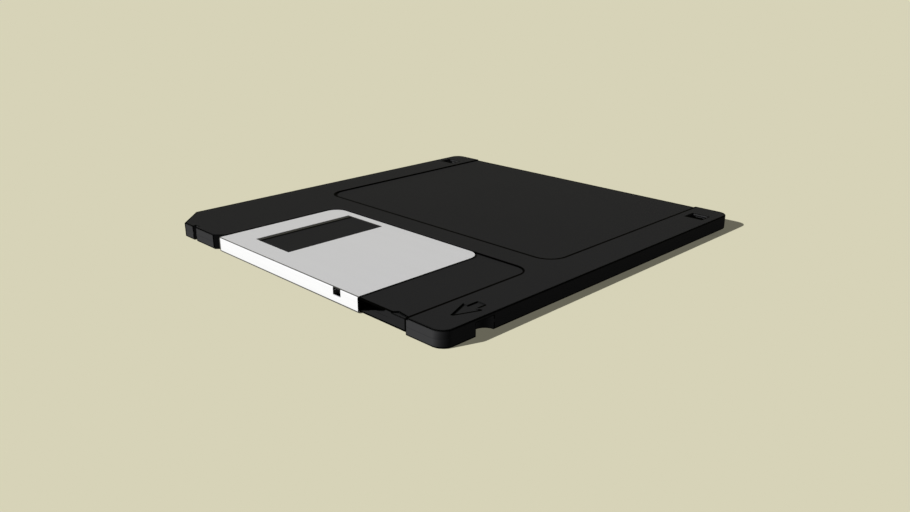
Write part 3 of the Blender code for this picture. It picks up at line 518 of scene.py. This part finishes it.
def spring_wire():
    """Drawn steel wire, faintly speckled."""
    made = Tree("spring_wire", SPRING_STEEL, roughness=0.30, metallic=1.0)
    speck = made.noise(scale=900.0, detail=3.0, roughness=0.6)
    made.paint(made.mottled(speck, SPRING_STEEL, darker=0.9, lighter=1.08))
    made.rough(made.span(speck, low=0.3, high=0.7, to_low=0.24, to_high=0.38))
    made.bump(speck, depth=0.005 * MM, strength=0.5)
    return made.material


def hub_steel():
    """Stamped steel with fine turning marks about its centre."""
    made = Tree("hub_steel", HUB_STEEL, roughness=0.32, metallic=1.0)
    wave = made.math("SINE", made.times(made.radius(), 2 * math.pi / HUB_PITCH))
    rings = made.span(wave, low=-1.0, high=1.0)
    speck = made.noise(scale=700.0, detail=3.0, roughness=0.6)
    made.paint(made.mottled(speck, HUB_STEEL, darker=0.9, lighter=1.08))
    made.rough(made.level(rings, 0.26, 0.36))
    made.bump(rings, depth=0.002 * MM, strength=0.6)
    return made.material


def magnetic_film():
    """Dark brown coated film, burnished in fine rings."""
    made = Tree("magnetic_film", FILM_BROWN, roughness=0.22)
    rings = made.noise(roughness=0.6, place=made.along(made.times(made.radius(), FILM_WAVES)))
    made.paint(made.mottled(rings, FILM_BROWN, darker=0.8, lighter=1.25))
    made.rough(made.span(rings, low=0.3, high=0.7, to_low=0.18, to_high=0.30))
    made.bump(rings, depth=0.001 * MM, strength=0.5)
    return made.material


def liner_cloth():
    """Off-white non-woven fibre, pressed in a mottled felt."""
    made = Tree("liner_cloth", LINER_WHITE, roughness=0.95, specular=0.1)
    fibre = made.noise(scale=4200.0, detail=4.0, roughness=0.75)
    clump = made.noise(scale=650.0)
    tone = made.mottled(clump, LINER_WHITE, darker=0.86, lighter=1.04)
    shadows = made.span(fibre, low=0.35, high=0.65, to_low=0.0, to_high=0.6)
    made.paint(made.mix(shadows, tone, shade(LINER_WHITE, 0.78)))
    made.bump(made.plus(fibre, clump), depth=0.05 * MM, strength=1.0)
    return made.material


def lifter_film():
    """Hazy plastic leaf."""
    made = Tree("lifter_film", LIFTER_CLEAR, roughness=0.25)
    haze = made.noise(scale=300.0)
    made.paint(made.mottled(haze, LIFTER_CLEAR, darker=0.95, lighter=1.04))
    made.rough(made.span(haze, low=0.3, high=0.7, to_low=0.2, to_high=0.32))
    return made.material


def glue():
    """Yellowish glue with soft lumps."""
    made = Tree("glue", GLUE_YELLOW, roughness=0.5)
    lumps = made.noise(scale=1200.0)
    made.paint(made.mottled(lumps, GLUE_YELLOW, darker=0.85, lighter=1.05))
    made.bump(lumps, depth=0.02 * MM, strength=0.6)
    return made.material


def button_plastic():
    """White slippery plastic with a faint grain."""
    made = Tree("button_plastic", BUTTON_WHITE, roughness=0.38)
    grain = made.noise(scale=2500.0)
    made.paint(made.mottled(grain, BUTTON_WHITE, darker=0.96, lighter=1.03))
    made.bump(grain, depth=0.004 * MM, strength=0.5)
    return made.material


def dress(material, *names):
    for name in names:
        slots = nodes[name].data.materials
        slots.clear()
        slots.append(material)


dress(case_plastic("case_plastic", BLACK_PLASTIC), "upper_shell", "lower_shell")
dress(case_plastic("slider_plastic", SLIDER_BLACK_PAINTED_SHADE), "write_protect_slider")
dress(shutter_steel(), "shutter")
dress(spring_wire(), "shutter_spring")
dress(hub_steel(), "hub")
dress(magnetic_film(), "magnetic_disk")
dress(liner_cloth(), "upper_liner", "lower_liner")
dress(lifter_film(), "liner_lifter")
dress(glue(), "hub_adhesive_ring")
dress(button_plastic(), "wear_button")


# Shading of curved walls

def smooth_shading():
    """A node group that joins a solid's facets and shades shallow bends between them as curved."""
    group = bpy.data.node_groups.new("smooth_shading", "GeometryNodeTree")
    for side in ("INPUT", "OUTPUT"):
        group.interface.new_socket("Geometry", in_out=side, socket_type="NodeSocketGeometry")
    first, last = group.nodes.new("NodeGroupInput"), group.nodes.new("NodeGroupOutput")
    weld = group.nodes.new("GeometryNodeMergeByDistance")
    weld.inputs["Distance"].default_value = WELD
    plain = group.nodes.new("GeometryNodeRemoveAttribute")
    plain.inputs["Name"].default_value = "custom_normal"
    bend = group.nodes.new("GeometryNodeInputMeshEdgeAngle")
    sharp = group.nodes.new("ShaderNodeMath")
    sharp.operation = "GREATER_THAN"
    sharp.inputs[1].default_value = SHARP_BEND
    group.links.new(bend.outputs["Unsigned Angle"], sharp.inputs[0])
    faces, edges = [group.nodes.new("GeometryNodeSetShadeSmooth") for _ in range(2)]
    faces.domain, edges.domain = "FACE", "EDGE"
    faces.inputs["Shade Smooth"].default_value = True
    edges.inputs["Shade Smooth"].default_value = False
    group.links.new(sharp.outputs[0], edges.inputs["Selection"])
    steps = [first, weld, plain, faces, edges, last]
    for before, after in zip(steps, steps[1:]):
        group.links.new(before.outputs[0], after.inputs[0])
    return group


def smooth(things):
    group = smooth_shading()
    for thing in things:
        thing.modifiers.new("smooth_shading", "NODES").node_group = group
        weighted = thing.modifiers.new("weighted_normals", "WEIGHTED_NORMAL")
        weighted.keep_sharp = True


smooth(nodes.values())


# Floor, light and camera

def link(name, data):
    """A new object in the scene."""
    thing = bpy.data.objects.new(name, data)
    bpy.context.scene.collection.objects.link(thing)
    return thing


def floor():
    """A plain matt floor that takes the shadow and throws no light back."""
    mesh = bpy.data.meshes.new("floor")
    signs = ((-1, -1), (1, -1), (1, 1), (-1, 1))
    points = [(x * FLOOR_HALF, y * FLOOR_HALF, -FLOOR_DROP) for x, y in signs]
    mesh.from_pydata(points, [], [(0, 1, 2, 3)])
    mesh.materials.append(Tree("floor", FLOOR_COLOUR, roughness=1.0, specular=0.0).material)
    thing = link("floor", mesh)
    thing.visible_diffuse = False


def sun():
    data = bpy.data.lights.new("sun", "SUN")
    data.energy = SUN_SHARE * math.pi / SUN_DIRECTION.z
    data.angle = SUN_SPREAD
    link("sun", data).rotation_euler = SUN_DIRECTION.to_track_quat("Z", "Y").to_euler()


def world():
    """An even white fill on the object, and the floor's colour where a view goes past the floor."""
    made = bpy.data.worlds.new("studio")
    bpy.context.scene.world = made
    made.use_nodes = True
    tree = made.node_tree
    fill = tree.nodes["Background"]
    backdrop = tree.nodes.new("ShaderNodeBackground")
    for node, colour, strength in ((fill, WHITE, FILL_SHARE), (backdrop, FLOOR_COLOUR, 1.0)):
        node.inputs["Color"].default_value = (*colour, 1.0)
        node.inputs["Strength"].default_value = strength
    path = tree.nodes.new("ShaderNodeLightPath")
    seen = path.outputs["Is Camera Ray"]
    for ray in ("Is Glossy Ray", "Is Transmission Ray"):
        either = tree.nodes.new("ShaderNodeMath")
        either.operation = "MAXIMUM"
        tree.links.new(seen, either.inputs[0])
        tree.links.new(path.outputs[ray], either.inputs[1])
        seen = either.outputs[0]
    mix = tree.nodes.new("ShaderNodeMixShader")
    for socket, value in zip(mix.inputs, (seen, fill.outputs[0], backdrop.outputs[0])):
        tree.links.new(value, socket)
    tree.links.new(mix.outputs[0], tree.nodes["World Output"].inputs["Surface"])


def camera():
    data = bpy.data.cameras.new("camera")
    data.sensor_width = CAMERA_SENSOR
    data.lens = CAMERA_LENS
    data.clip_start = CAMERA_NEAR
    data.clip_end = CAMERA_FAR
    thing = link("camera", data)
    thing.location = CAMERA_PLACE
    thing.rotation_euler = (CAMERA_TILT, 0.0, CAMERA_TURN)
    bpy.context.scene.camera = thing


floor()
sun()
world()
camera()
bpy.context.scene.view_settings.view_transform = "Standard"

# Left out of the indirect light, so that the shadow on the floor is as flat as in the photograph
for name in ("shutter", "upper_shell", "lower_shell"):
    nodes[name].visible_diffuse = False
